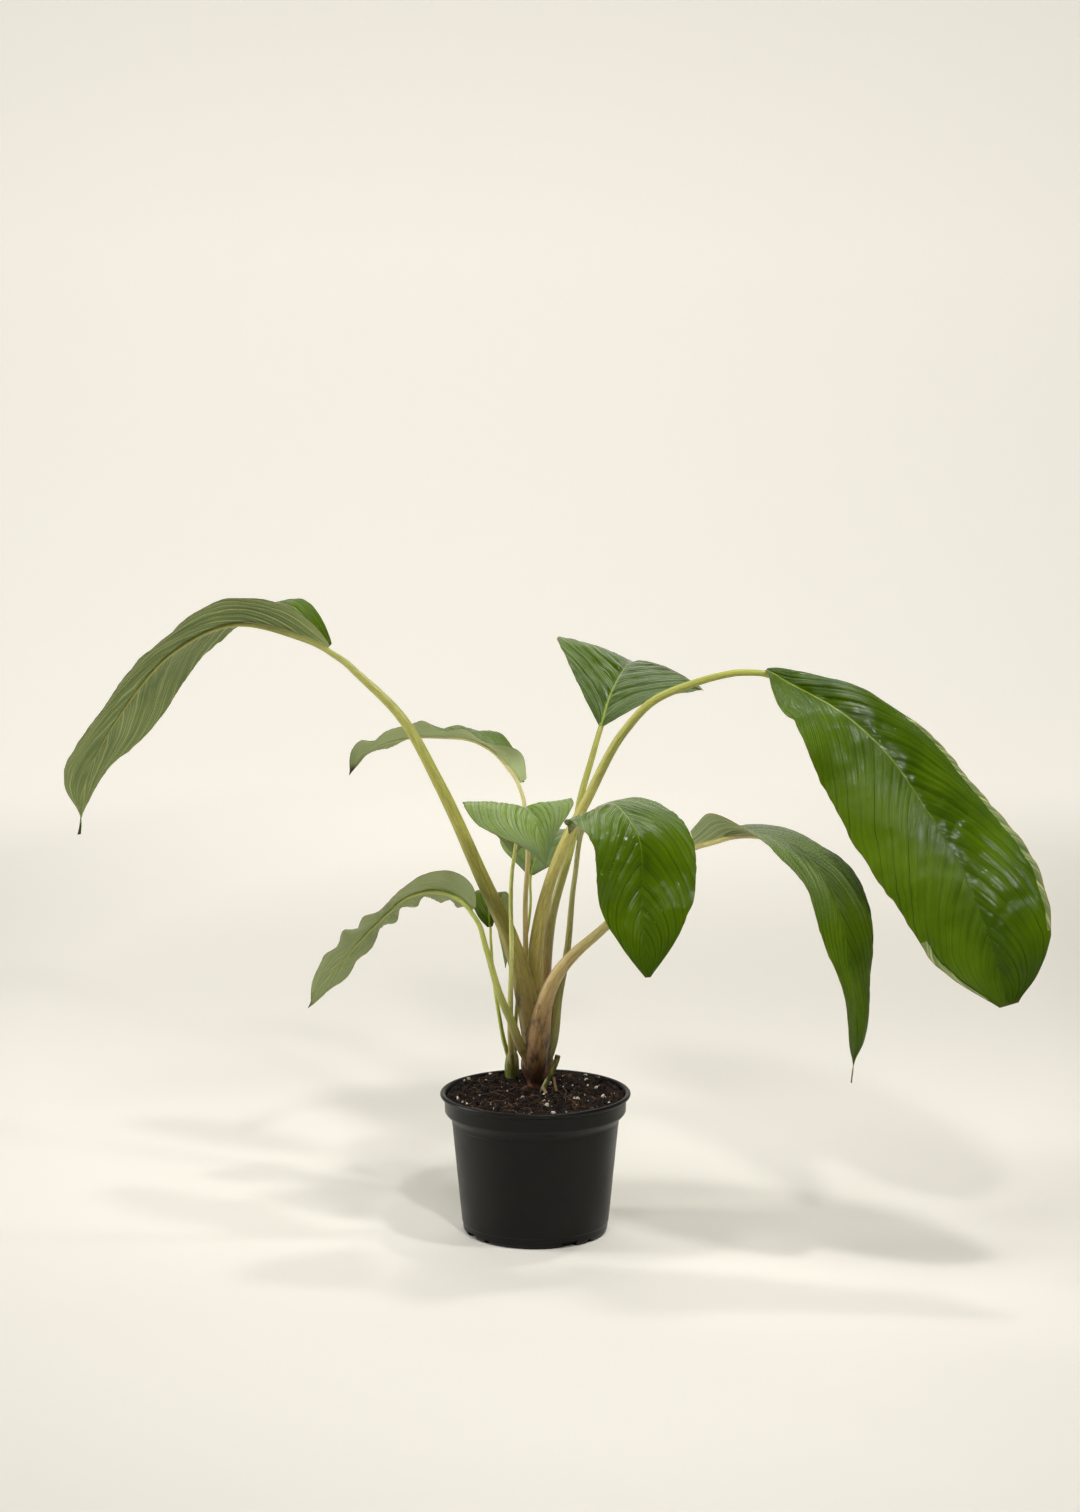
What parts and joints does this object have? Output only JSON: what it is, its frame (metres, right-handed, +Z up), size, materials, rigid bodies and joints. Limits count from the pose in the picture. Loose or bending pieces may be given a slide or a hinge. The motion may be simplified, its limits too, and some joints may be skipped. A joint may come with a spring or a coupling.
{
  "type": "potted bat flower",
  "caption": "Young foliage plant with large glossy veined leaves on long arching stalks, growing from a short crown in a plain black nursery pot of soil.",
  "frame": {"origin": "centre of the pot's flat underside", "axes": "+Z up out of the pot, -Y towards the front of the plant, +X to the right of someone facing the front"},
  "size_m": [0.783, 0.3868, 0.5009],
  "materials": {
    "pot_plastic": "satin black moulded plastic",
    "soil": "rough peat and bark mix with white perlite",
    "crown": "brown clasping sheaths, satin",
    "side_crown": "green shoot base, satin",
    "cut_stub": "yellow-green with a dried brown cut end",
    "root": "pale brown, matte",
    "stalk": "smooth satin yellow-green",
    "blade": "glossy deep green with sunken veins"
  },
  "bodies": {
    "root": {"pot": "pot_plastic", "soil": "soil", "crown": "crown", "side_crown": "side_crown", "old_stub": "cut_stub", "root_right": "root", "root_front": "root", "stalk_high_left": "stalk", "stalk_mid_left": "stalk", "stalk_low_left": "stalk", "stalk_front_left": "stalk", "stalk_back_small": "stalk", "stalk_back_high": "stalk", "stalk_high_right": "stalk", "stalk_front_right": "stalk", "stalk_low_right": "stalk", "stalk_small_left": "stalk", "blade_high_left": "blade", "blade_mid_left": "blade", "blade_low_left": "blade", "blade_front_left": "blade", "blade_back_small": "blade", "blade_back_high": "blade", "blade_high_right": "blade", "blade_front_right": "blade", "blade_low_right": "blade", "blade_small_left": "blade"}
  },
  "joints": []
}
